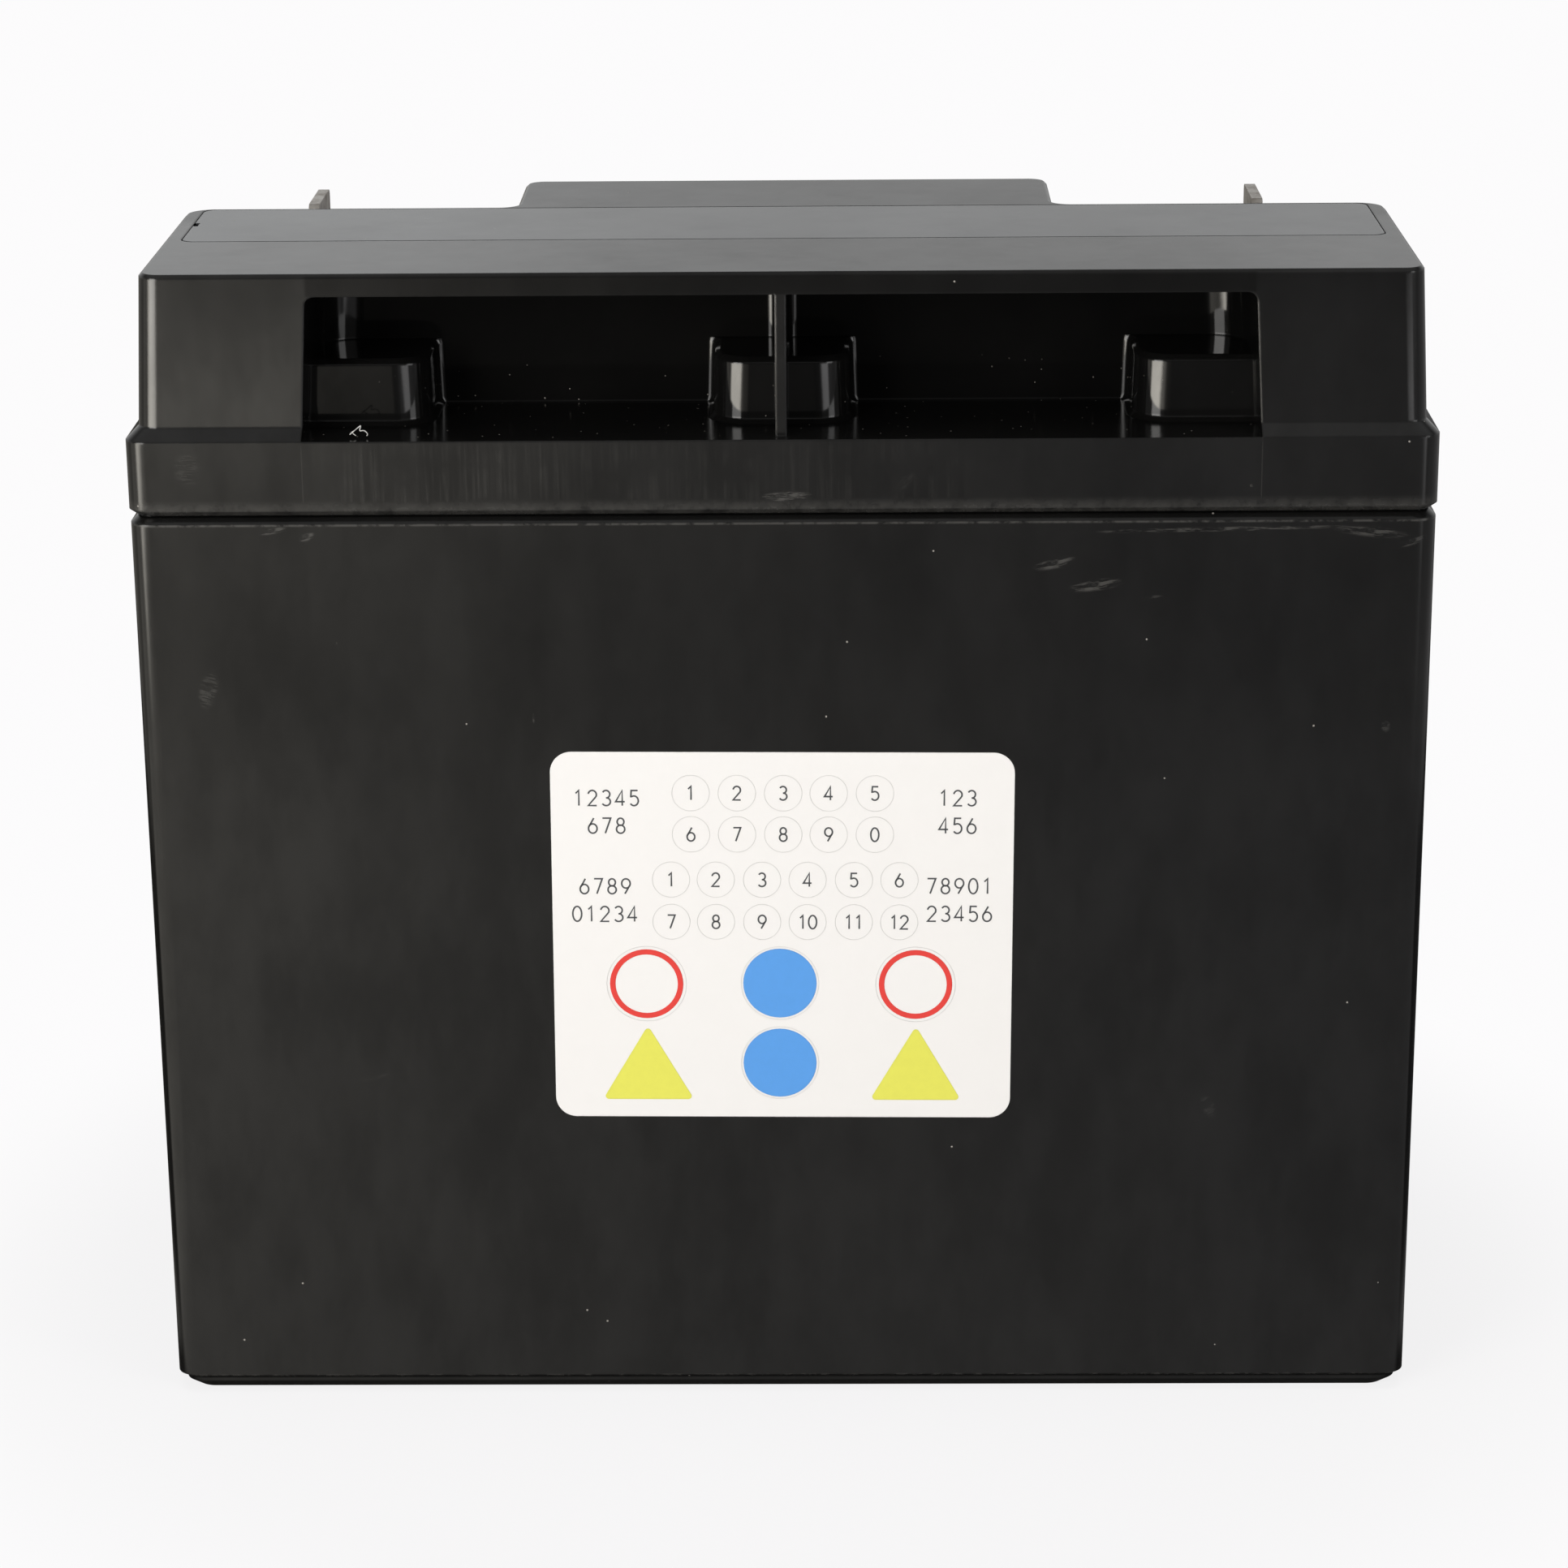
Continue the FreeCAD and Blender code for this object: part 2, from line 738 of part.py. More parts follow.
def plate_group(index, x, positive):
    """Plates of one polarity, cast together under one strap with its weld lug."""
    count = positive_count if positive else negative_count
    thickness = positive_thickness if positive else negative_thickness
    bottom = container_floor + mat_thickness if positive else container_floor
    lug_y = lug_row(index, positive)
    middles = plate_middles(x, count)
    plates = [plate_with_lug(middle, thickness, bottom, lug_y) for middle in middles]
    low_y = lug_y - strap_width / 2
    high_y = lug_y + strap_width / 2
    strap_left = middles[0] - thickness / 2
    strap_right = middles[-1] + thickness / 2
    side = weld_side(index, positive)
    wall = x + side * cell_width / 2
    if side > 0:
        strap_right = wall
    if side < 0:
        strap_left = wall
    strap = block(strap_left, strap_right, low_y, high_y, strap_bottom, strap_top)
    pieces = plates[1:] + [strap]
    if side != 0:
        inner = wall - side * weld_lug_thickness
        pieces.append(block(
            min(wall, inner), max(wall, inner), low_y, high_y,
            strap_bottom - weld_lug_overhang, strap_top + weld_lug_overhang))
    return plates[0].fuse(pieces).removeSplitter()


def separators(x):
    """Glass mats, each folded up round one positive plate."""
    wraps = []
    for middle in plate_middles(x, positive_count):
        outer = positive_thickness / 2 + mat_thickness
        inner = positive_thickness / 2
        top = plate_top + mat_overhang
        outline = [
            (middle - outer, container_floor, 0), (middle + outer, container_floor, 0),
            (middle + outer, top, 0), (middle + inner, top, 0),
            (middle + inner, container_floor + mat_thickness, 0),
            (middle - inner, container_floor + mat_thickness, 0),
            (middle - inner, top, 0), (middle - outer, top, 0),
        ]
        front = -plate_half_width
        wraps.append(prism(outline, across_y(front), Vector(0, 2 * plate_half_width, 0)))
    return Part.makeCompound(wraps)


def weld_block(index, x, grow, thickness):
    """Block through the partition at x that joins the straps of cells index and index + 1."""
    middle_y = lug_row(index, True)
    half_width = weld_width / 2 + grow
    half_height = weld_height / 2 + grow
    return block(
        x - thickness / 2, x + thickness / 2, middle_y - half_width, middle_y + half_width,
        weld_middle - half_height, weld_middle + half_height)


# Sticker

def date_label():
    """Thin sticker that follows the container's front face, turned a little as it was stuck on."""
    half_width = label_width / 2
    half_height = label_height / 2
    corners = rectangle(-half_width, -half_height, half_width, half_height, label_corner)
    sheet = prism(corners, across_y(-depth / 2 - overrun), Vector(0, overrun + container_wall, 0))
    sheet.rotate(Vector(0, 0, 0), Vector(0, 1, 0), -label_turn)
    sheet.translate(Vector(label_centre_x, 0, label_centre_z))
    outer = []
    for grow in (label_thickness, 0):
        foot_inset = container_inset_at(foot_step_height) - grow
        rim_inset = container_inset - grow
        outer.append(tapered_rectangle(foot_inset, rim_inset, foot_step_height, rim_height - rim_bevel))
    return sheet.common(outer[0]).cut(outer[1])


# All pieces, each under its own name

def pieces():
    """Every piece of the battery by name."""
    named = {
        "container": container(),
        "cover": cover(),
        "cover_seal": cover_seal(),
        "vent_lid": vent_lid(),
        "date_label": date_label(),
        "valve_caps": Part.makeCompound([valve_cap(x) for x in cell_middles()]),
    }
    for index, x in enumerate(cell_middles()):
        number = index + 1
        named[f"positive_group_{number}"] = plate_group(index, x, True)
        named[f"negative_group_{number}"] = plate_group(index, x, False)
        named[f"separators_{number}"] = separators(x)
    for index, x in enumerate(partition_middles()):
        named[f"cell_weld_{index + 1}"] = weld_block(index, x, 0, partition_wall)
    terminal_pieces = {
        "terminal_post": terminal_post(),
        "terminal_tab": terminal_tab(),
        "post_ring": post_ring(),
        "post_resin": post_resin(),
    }
    for name, shape in terminal_pieces.items():
        named[f"{name}_positive"] = shape
        named[f"{name}_negative"] = mirrored(shape)
    return named


for name, shape in pieces().items():
    shape.exportStep(f"parts/{name}.step")
    print(name, "solids", len(shape.Solids), "volume", round(shape.Volume, 1), "valid", shape.isValid())
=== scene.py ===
import json
import math

import bmesh
import bpy
from mathutils import Matrix, Vector

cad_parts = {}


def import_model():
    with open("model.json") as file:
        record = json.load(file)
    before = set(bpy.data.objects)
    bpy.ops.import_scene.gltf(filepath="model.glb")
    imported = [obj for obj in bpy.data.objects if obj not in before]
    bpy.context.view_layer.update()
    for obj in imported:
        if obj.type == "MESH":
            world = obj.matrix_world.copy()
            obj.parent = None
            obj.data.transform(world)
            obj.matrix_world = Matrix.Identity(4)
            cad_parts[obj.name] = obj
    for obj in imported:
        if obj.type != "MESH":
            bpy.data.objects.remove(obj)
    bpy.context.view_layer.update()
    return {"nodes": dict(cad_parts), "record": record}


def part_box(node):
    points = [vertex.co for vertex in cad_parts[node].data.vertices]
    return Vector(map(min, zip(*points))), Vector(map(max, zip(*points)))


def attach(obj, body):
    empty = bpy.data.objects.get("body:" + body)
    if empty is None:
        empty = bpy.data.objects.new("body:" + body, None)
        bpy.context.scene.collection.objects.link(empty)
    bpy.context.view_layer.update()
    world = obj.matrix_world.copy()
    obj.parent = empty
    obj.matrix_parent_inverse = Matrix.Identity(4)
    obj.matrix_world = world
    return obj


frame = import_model()
nodes = frame["nodes"]

MM = 0.001

# Camera, fitted to the edges of the battery, in metres and degrees
CAMERA_PLACE = (0.00915, -0.62926, 0.28532)
CAMERA_PITCH = 17.8016
CAMERA_YAW = 0.8893
CAMERA_ROLL = -0.5044
CAMERA_LENS = 98.88
SENSOR_WIDTH = 36.0

# Tones, as linear colours
BACKGROUND = (0.973, 0.967, 0.973, 1)
BLACK = (0.0046, 0.0045, 0.0044, 1)
BLACK_WORN = (0.0066, 0.0064, 0.0061, 1)
DUST = (0.30, 0.28, 0.25, 1)
# Paler tone for rubbed marks, and for the painted highlights along edges.
RUBBED_AND_HIGHLIGHT = (0.075, 0.072, 0.066, 1)
LID_HAZE = (0.0125, 0.0150, 0.0185, 1)
LID_HAZE_DEEP = (0.0100, 0.0120, 0.0148, 1)
LABEL_WHITE = (0.95, 0.925, 0.90, 1)
LABEL_CLOUD = (0.945, 0.92, 0.895, 1)
LABEL_GREY = (0.075, 0.078, 0.082, 1)
RED = (0.86, 0.052, 0.04, 1)
BLUE = (0.105, 0.37, 0.87, 1)
YELLOW = (0.86, 0.84, 0.115, 1)
FAINT_LINE = (0.875, 0.855, 0.835, 1)

# Ranges on the battery, in millimetres: x to the right, y to the rear, z up
FRONT_Y = (-38.0, -38.6)
FOOT_LINE_Z = (2.4, 2.9)
RIM_LINE_Z = (134.5, 134.8)
SKIRT_Z = (137.6, 146.2)
SKIRT_EDGE_Z = (138.6, 136.8)
PARTING_X = (67.36, 67.5)
STREAKED_LEFT_X = (-65.0, -31.0)
STREAKED_MIDDLE_X = (-31.0, 25.0)
POCKET_Z = (146.9, 166.8)
POCKET_Y = (-36.6, -12.0)
POCKET_BACK_Y = (-15.8, -15.2)
CRUMBS_Z = (146.5, 155.0)
CRUMBS_Y = (-38.0, -12.0)
LIP_Z = (166.9, 169.8)
LIP_Y = (-36.8, -37.4)
LIP_X = (-66.3, 66.3)
TOP_Z = (169.6, 169.9)
TONGUE_Y = (0.0, 6.0)
BEFORE_LID_Y = (0.0, -6.0)
BEFORE_LID_X = (-45.0, 75.0)

# Rubbed marks on the front: place across and up, reach across and up, turn in degrees, strength
CASE_MARKS = [
    ((38.6, 128.6), (3.6, 0.9), 12, 0.75),
    ((44.4, 125.4), (4.4, 1.0), 8, 0.75),
    ((52.0, 123.6), (2.4, 0.3), 5, 0.3),
    ((62.0, 133.5), (24.0, 0.4), 1, 0.6),
    ((83.1, 133.0), (6.0, 0.9), -6, 0.6),
    ((89.0, 131.6), (2.5, 0.6), 20, 0.5),
    ((-82.2, 110.5), (1.6, 3.6), -14, 0.35),
    ((86.0, 104.5), (0.8, 1.3), 10, 0.4),
    ((-35.8, 106.2), (0.2, 1.1), 3, 0.5),
    ((-72.0, 133.9), (2.4, 0.6), 10, 0.7),
    ((-67.2, 133.0), (1.4, 0.7), 20, 0.8),
    ((62.0, 46.0), (1.2, 2.2), 25, 0.2),
    ((-60.5, 51.0), (3.2, 0.5), 8, 0.12),
]
COVER_MARKS = [
    ((0.8, 138.6), (4.2, 0.9), 2, 0.8),
    ((17.5, 140.6), (2.2, 1.0), 40, 0.12),
    ((-83.6, 143.0), (2.4, 3.4), 0, 0.20),
    ((-76.0, 157.0), (8.0, 3.0), 88, 0.10),
    ((66.0, 139.8), (0.3, 0.3), 0, 0.9),
    ((-26.0, 169.3), (3.0, 0.4), 0, 0.2),
]

# Print on the sticker, in millimetres from its centre: rings have an outer and an inner radius
LABEL_CENTRE = (-0.4, 72.7)
LABEL_TURN = math.radians(0.38)
PRINT_FACE = 0.02
PRINT_DEPTH = 0.012

# Height of the bands at the sticker's foot and top where its lean is measured
LABEL_END = 5.0

DIGIT_HEIGHT = 2.05
DIGIT_WIDTH = 1.15
STROKE = 0.24
UPPER_COLUMNS = (-13.2, -6.55, 0.12, 6.67, 13.33)
LOWER_COLUMNS = (-16.15, -9.67, -2.96, 3.63, 10.34, 16.92)
NUMBER_ROWS = [
    (UPPER_COLUMNS, 21.98, "1 2 3 4 5"),
    (UPPER_COLUMNS, 15.72, "6 7 8 9 0"),
    (LOWER_COLUMNS, 8.8, "1 2 3 4 5 6"),
    (LOWER_COLUMNS, 2.32, "7 8 9 10 11 12"),
]
NUMBER_CIRCLE = (2.75, 2.66)
SIDE_NUMBERS = [
    (-25.35, 21.2, "12345"),
    (-25.35, 17.0, "678"),
    (25.25, 21.3, "123"),
    (25.25, 17.1, "456"),
    (-25.7, 7.75, "6789"),
    (-25.8, 3.5, "01234"),
    (25.6, 7.9, "78901"),
    (25.65, 3.65, "23456"),
]
SIDE_NUMBER_SCALE = 1.12
SIDE_NUMBER_PITCH = 1.56
SHAPE_COLUMNS = {"left": -19.85, "right": 19.38}
RED_RING_HEIGHT = -7.3
RED_RING = (5.35, 4.55)
RED_RING_HALO = (5.85, 5.77)
TRIANGLE_FOOT = -25.4
TRIANGLE_SHIFT = 0.1
TRIANGLE_HALF_BASE = 6.7
TRIANGLE_RISE = 11.6
TRIANGLE_CORNER = 0.5
DISC_COLUMN = -0.4
DISC_ROWS = {"upper": -7.15, "lower": -19.6}
DISC_RADIUS = 5.35
DISC_HALO = (5.7, 5.62)

# Strokes of each digit in shares of its width and height: arcs have a centre, two radii and two angles
DIGIT_STROKES = {
    "0": [("arc", 0, 0.5, 0.5, 0.5, 0, 360)],
    "1": [("line", (-0.30, 0.80), (0.05, 1.0), (0.05, 0.0))],
    "2": [("arc", 0, 0.72, 0.46, 0.28, 170, -35), ("line", (0.37, 0.56), (-0.46, 0.0), (0.48, 0.0))],
    "3": [("arc", -0.02, 0.75, 0.42, 0.25, 150, -90), ("arc", -0.02, 0.26, 0.48, 0.26, 90, -150)],
    "4": [("line", (0.22, 0.0), (0.22, 1.0), (-0.52, 0.26), (0.50, 0.26))],
    "5": [("line", (0.40, 1.0), (-0.32, 1.0), (-0.38, 0.54)), ("arc", -0.02, 0.32, 0.48, 0.32, 125, -145)],
    "6": [("arc", 0, 0.31, 0.48, 0.31, 0, 360), ("line", (-0.40, 0.46), (0.12, 1.0))],
    "7": [("line", (-0.46, 1.0), (0.46, 1.0), (-0.16, 0.0))],
    "8": [("arc", 0, 0.76, 0.38, 0.24, 0, 360), ("arc", 0, 0.27, 0.46, 0.27, 0, 360)],
    "9": [("arc", 0, 0.69, 0.48, 0.31, 0, 360), ("line", (0.40, 0.54), (-0.12, 0.0))],
}

# Curl of lint at the left end of the pocket: its place and the points of its fibres from there
LINT_PLACE = (-59.6, -37.2, 147.0)
LINT_LONG = [
    (-1.2, -0.2, 0.2), (-0.2, 0.0, 1.0), (0.5, 0.0, 1.6), (0.1, -0.1, 0.6),
    (0.9, -0.3, 0.9), (1.5, -0.4, 0.2), (1.2, -0.5, 0.1),
]
LINT_SHORT = [(-1.1, 0.0, 0.3), (-0.6, 0.1, 0.8), (-0.9, -0.2, 0.4), (-0.3, -0.4, 0.1)]
LINT_LONG_RADIUS = 0.07
LINT_SHORT_RADIUS = 0.06

# Floor, in metres: negative y lies in front, and four values give a range of y and its two levels
FLOOR_REACH = 4.0
FLOOR_DROP = 0.05 * MM
FRONT_FLOOR_Y = (-0.044, -0.038)
TABLE_LEVEL = 0.30
TABLE_LEFT_RISE = 0.10
TABLE_LEFT_RATE = 13.0
TABLE_MOST = (-0.55, -1.1, 0.85, 1.75)
TABLE_BEYOND = (-0.42, -0.37, 0.70, 1.0)
TABLE_FURTHER = (-0.56, -0.63, 1.0, 1.35)
TABLE_END = (-1.74, -1.52, 0.10, 1.0)
SEAM_Y = (-0.405, -0.375)
SEAM_DEPTH = 0.33
SHEETS_Y = (-1.4, -0.22)
LEFT_SHEET_X = (-0.38, -0.52)
LEFT_SHEET_GLOW = 7.5
RIGHT_SHEET_X = (0.34, 0.50)
RIGHT_SHEET_GLOW = 1.7
BACK_LEVEL = 0.34
BACK_STRIP_X = (0.12, 0.36)
BACK_STRIP_DEPTH = 0.30
FOOTPRINT_X = (0.115, 0.10)
FOOTPRINT_Y = (0.07, 0.05)
FOOTPRINT_DEPTH = 0.9
CONTACT_REACH = (0.165, 0.10)
CONTACT_SHARE = 0.15

LAMP_AIM = Vector((0, 0, 0.09))


# Node trees

def new_material(name):
    """Empty material and its node tree."""
    material = bpy.data.materials.new(name)
    material.use_nodes = True
    material.node_tree.nodes.clear()
    return material, material.node_tree


def fill(tree, socket, value):
    """Links a socket to an output, or sets it to a constant."""
    if isinstance(value, bpy.types.NodeSocket):
        tree.links.new(value, socket)
    else:
        socket.default_value = value


def add(tree, kind, inputs=None, **settings):
    """New node with its settings, its input values and its input links."""
    node = tree.nodes.new(kind)
    for key, value in settings.items():
        setattr(node, key, value)
    for key, value in (inputs or {}).items():
        fill(tree, node.inputs[key], value)
    return node


def calc(tree, operation, first, second=0.0, clamp=False):
    """Output of a Math node."""
    inputs = {0: first, 1: second}
    return add(tree, "ShaderNodeMath", inputs, operation=operation, use_clamp=clamp).outputs[0]


def span(tree, value, from_low, from_high, to_low=0.0, to_high=1.0):
    """Value mapped smoothly from one range to another and held at its ends."""
    inputs = {
        "Value": value, "From Min": from_low, "From Max": from_high, "To Min": to_low, "To Max": to_high}
    return add(tree, "ShaderNodeMapRange", inputs, interpolation_type="SMOOTHSTEP").outputs[0]


def blend(tree, share, first, second):
    """Colour between two colours."""
    node = add(tree, "ShaderNodeMix", data_type="RGBA")
    fill(tree, node.inputs[0], share)
    fill(tree, node.inputs[6], first)
    fill(tree, node.inputs[7], second)
    return node.outputs[2]


def place_in_mm(tree):
    """Place on the object in millimetres."""
    where = add(tree, "ShaderNodeTexCoord").outputs["Object"]
    inputs = {0: where, "Scale": 1 / MM}
    return add(tree, "ShaderNodeVectorMath", inputs, operation="SCALE").outputs[0]


def coordinates(tree, where):
    """The three coordinates of a place or direction."""
    return add(tree, "ShaderNodeSeparateXYZ", {0: where}).outputs[:]


def stretched(tree, where, factors):
    """Place with each axis scaled by its own factor."""
    return add(tree, "ShaderNodeVectorMath", {0: where, 1: factors}, operation="MULTIPLY").outputs[0]


def noise(tree, where, scale, detail=2.0, roughness=0.5):
    """Noise value between 0 and 1, its scale in cycles for each millimetre."""
    inputs = {"Vector": where, "Scale": scale, "Detail": detail, "Roughness": roughness}
    return add(tree, "ShaderNodeTexNoise", inputs).outputs["Fac"]


def specks(tree, where, scale, size, share):
    """Mask of small scattered specks: size in cells, and the share of cells that hold one."""
    cells = add(tree, "ShaderNodeTexVoronoi", {"Vector": where, "Scale": scale, "Randomness": 1.0})
    near = calc(tree, "LESS_THAN", cells.outputs["Distance"], size)
    draw = add(tree, "ShaderNodeSeparateColor", {"Color": cells.outputs["Color"]}).outputs[0]
    return both(tree, near, calc(tree, "LESS_THAN", draw, share))


def either(tree, first, second):
    """The larger of two masks."""
    return calc(tree, "MAXIMUM", first, second)


def both(tree, first, second):
    """The product of two values or masks."""
    return calc(tree, "MULTIPLY", first, second)


def dimmed(tree, value, share):
    """Value that loses a share of itself."""
    return both(tree, value, calc(tree, "SUBTRACT", 1.0, share))


def between(tree, value, low, high, soft):
    """Mask that is 1 between low and high, with soft edges."""
    rising = span(tree, value, low - soft, low + soft)
    falling = span(tree, value, high + soft, high - soft)
    return both(tree, rising, falling)


def finish_surface(tree, colour, roughness, height, edge=0.45, **constants):
    """Principled surface with softened edges and bump, linked to the output."""
    softened = add(tree, "ShaderNodeBevel", {"Radius": edge * MM}, samples=6)
    bump_inputs = {"Height": height, "Strength": 1.0, "Distance": MM, "Normal": softened.outputs[0]}
    bump = add(tree, "ShaderNodeBump", bump_inputs)
    inputs = {"Base Color": colour, "Roughness": roughness, "Normal": bump.outputs[0]}
    for key, value in constants.items():
        inputs[key.replace("_", " ").title().replace("Ior", "IOR")] = value
    surface = add(tree, "ShaderNodeBsdfPrincipled", inputs)
    add(tree, "ShaderNodeOutputMaterial", {"Surface": surface.outputs[0]})


# Wear of the moulded housing, painted highlights along its edges and painted shade on its cover

def smear(tree, where, place, reach, turn, strength):
    """Mask of one rubbed mark on the front."""
    centre = (place[0], 0.0, place[1])
    moved = add(tree, "ShaderNodeVectorMath", {0: where, 1: centre}, operation="SUBTRACT").outputs[0]
    inputs = {"Vector": moved, "Axis": (0, 1, 0), "Angle": math.radians(turn)}
    spun = add(tree, "ShaderNodeVectorRotate", inputs).outputs[0]
    flat = stretched(tree, spun, (1 / reach[0], 0.0, 1 / reach[1]))
    far = add(tree, "ShaderNodeVectorMath", {0: flat}, operation="LENGTH").outputs["Value"]
    hairs = noise(tree, stretched(tree, spun, (0.25, 1.0, 2.2)), 1.6, 4.0, 0.7)
    mark = both(tree, span(tree, far, 1.0, 0.45), span(tree, hairs, 0.44, 0.60))
    return both(tree, mark, strength)


def rubbed_marks(tree, where, marks):
    """Mask of all rubbed marks of a list, on the front alone."""
    pale_marks = 0.0
    for mark in marks:
        pale_marks = either(tree, pale_marks, smear(tree, where, *mark))
    return both(tree, pale_marks, span(tree, coordinates(tree, where)[1], *FRONT_Y))


def case_wear_and_highlights(tree, where):
    """Rubbed marks on the case, and painted highlights along the edges of its foot step and its rim, broken
    up by grit.
    """
    z = coordinates(tree, where)[2]
    grit = noise(tree, where, 0.45, 5.0, 0.7)
    # Painted highlights: bright lines along the foot step and the rim, in the tone of rubbed marks.
    foot_line = both(tree, between(tree, z, *FOOT_LINE_Z, 0.12), span(tree, grit, 0.46, 0.60))
    rim_line = both(tree, between(tree, z, *RIM_LINE_Z, 0.12), span(tree, grit, 0.36, 0.56))
    lines = either(tree, both(tree, foot_line, 0.5), both(tree, rim_line, 0.6))
    return either(tree, rubbed_marks(tree, where, CASE_MARKS), lines)


def skirt_streaks(tree, where, x):
    """Upright rubbed streaks, stronger on the left."""
    streaks = noise(tree, stretched(tree, where, (1.0, 1.0, 0.03)), 1.1, 4.0, 0.65)
    fade = noise(tree, stretched(tree, where, (1.0, 1.0, 2.0)), 0.10, 2.0)
    streaks = both(tree, span(tree, streaks, 0.44, 0.70), span(tree, fade, 0.30, 0.60))
    left = both(tree, between(tree, x, *STREAKED_LEFT_X, 3.0), 0.25)
    middle = both(tree, between(tree, x, *STREAKED_MIDDLE_X, 5.0), 0.12)
    return both(tree, streaks, calc(tree, "ADD", left, middle))


def cover_wear_and_highlight(tree, where):
    """Rubbed marks on the cover, the streaks and parting lines of its skirt, and a painted highlight along
    the skirt's lower edge.
    """
    x, y, z = coordinates(tree, where)
    grit = noise(tree, where, 0.45, 5.0, 0.7)
    front = span(tree, y, *FRONT_Y)
    on_skirt = both(tree, between(tree, z, *SKIRT_Z, 1.2), front)
    streaks = both(tree, skirt_streaks(tree, where, x), on_skirt)
    # Painted highlight: a bright band that grows toward the skirt's lower edge, broken up by grit.
    edge = both(tree, span(tree, z, *SKIRT_EDGE_Z), span(tree, grit, 0.20, 0.62))
    edge = both(tree, both(tree, edge, front), 0.40)
    side = calc(tree, "ABSOLUTE", x)
    parting = both(tree, both(tree, between(tree, side, *PARTING_X, 0.08), 0.22), on_skirt)
    skirt = either(tree, streaks, either(tree, edge, parting))
    return either(tree, rubbed_marks(tree, where, COVER_MARKS), skirt)


def pocket_crumbs(tree, where, y, z):
    """Crumbs on the floor of the pocket, fewer higher up."""
    low = both(tree, span(tree, z, 155.0, 147.0), between(tree, y, *CRUMBS_Y, 0.2))
    low = both(tree, low, between(tree, z, *CRUMBS_Z, 0.1))
    return both(tree, specks(tree, where, 0.8, 0.085, 0.32), low)


def painted_shade_walls(tree, y, inside):
    """Painted shade: share of shine taken from the walls inside the pocket that face the front."""
    normal = add(tree, "ShaderNodeNewGeometry").outputs["Normal"]
    facing = span(tree, coordinates(tree, normal)[1], -0.975, -0.995)
    return both(tree, both(tree, facing, inside), span(tree, y, *POCKET_BACK_Y, 0.78, 0.96))


def painted_shade_lip(tree, x, y, z):
    """Painted shade: share of shine taken from the strip of the front above the pocket."""
    lip = both(tree, between(tree, z, *LIP_Z, 0.15), between(tree, x, *LIP_X, 0.4))
    return both(tree, both(tree, lip, span(tree, y, *LIP_Y)), 0.50)


def painted_shade_top(tree, x, y, z):
    """Painted shade: share of shine taken from the top of the cover, most on the tongue and less in front of
    the lid.
    """
    tongue = both(tree, span(tree, y, *TONGUE_Y), 0.55)
    before_lid = both(tree, between(tree, x, *BEFORE_LID_X, 30.0), span(tree, y, *BEFORE_LID_Y))
    return both(tree, span(tree, z, *TOP_Z), either(tree, tongue, both(tree, before_lid, 0.40)))


def cover_finish_and_shade(tree, where, rough, dust, shine):
    """Roughness, dust and shine of the cover, which differ in its pocket, on its lip and on top; the shine
    taken away on the pocket's front-facing walls, the lip and the top is painted shade.
    """
    x, y, z = coordinates(tree, where)
    inside = both(tree, between(tree, z, *POCKET_Z, 0.2), between(tree, y, *POCKET_Y, 0.4))
    rough = dimmed(tree, rough, both(tree, inside, 0.55))
    dust = either(tree, dimmed(tree, dust, inside), pocket_crumbs(tree, where, y, z))
    # Painted shade: shine taken away on the pocket's front-facing walls, on the lip and on top.
    for painted_shade in (painted_shade_walls(tree, y, inside), painted_shade_lip(tree, x, y, z), painted_shade_top(tree, x, y, z)):
        shine = dimmed(tree, shine, painted_shade)
    return rough, dust, shine


# Materials

def moulded_black(name, part):
    """Black moulded plastic of the case, the cover or the lid, with clouds, wear and dust, painted
    highlights along edges, and painted shade on the cover.
    """
    material, tree = new_material(name)
    where = place_in_mm(tree)
    cloud = noise(tree, where, 0.03, 4.0, 0.6)
    patches = span(tree, noise(tree, where, 0.09, 5.0, 0.65), 0.56, 0.74)
    colour = blend(tree, span(tree, cloud, 0.35, 0.7), BLACK, BLACK_WORN)
    rough = calc(tree, "ADD", span(tree, cloud, 0.3, 0.7, 0.14, 0.18), both(tree, patches, 0.03))
    dust = either(tree, specks(tree, where, 0.33, 0.05, 0.07), specks(tree, where, 0.12, 0.022, 0.2))
    smudge = noise(tree, stretched(tree, where, (1.0, 1.0, 0.4)), 0.11, 5.0, 0.65)
    shine = span(tree, smudge, 0.28, 0.72, 0.60, 0.42)
    if part == "lid":
        colour = blend(tree, span(tree, cloud, 0.3, 0.7), LID_HAZE, LID_HAZE_DEEP)
        shine = both(tree, shine, 1.5)
    else:
        # Rubbed marks are wear; the bright lines along the edges of the case and the skirt are painted
        # highlights.
        pale_marks = cover_wear_and_highlight(tree, where) if part == "cover" else case_wear_and_highlights(tree, where)
        colour = blend(tree, pale_marks, colour, RUBBED_AND_HIGHLIGHT)
        rough = calc(tree, "ADD", rough, both(tree, pale_marks, 0.3))
    if part == "cover":
        rough, dust, shine = cover_finish_and_shade(tree, where, rough, dust, shine)
    colour = blend(tree, dust, colour, DUST)
    rough = calc(tree, "ADD", rough, both(tree, dust, 0.5), clamp=True)
    peel = both(tree, noise(tree, where, 0.22, 2.0), 0.008)
    fine = both(tree, noise(tree, where, 0.9, 3.0, 0.6), 0.0005)
    height = calc(tree, "ADD", peel, fine)
    finish_surface(tree, colour, rough, height, ior=1.5, specular_ior_level=shine)
    return material


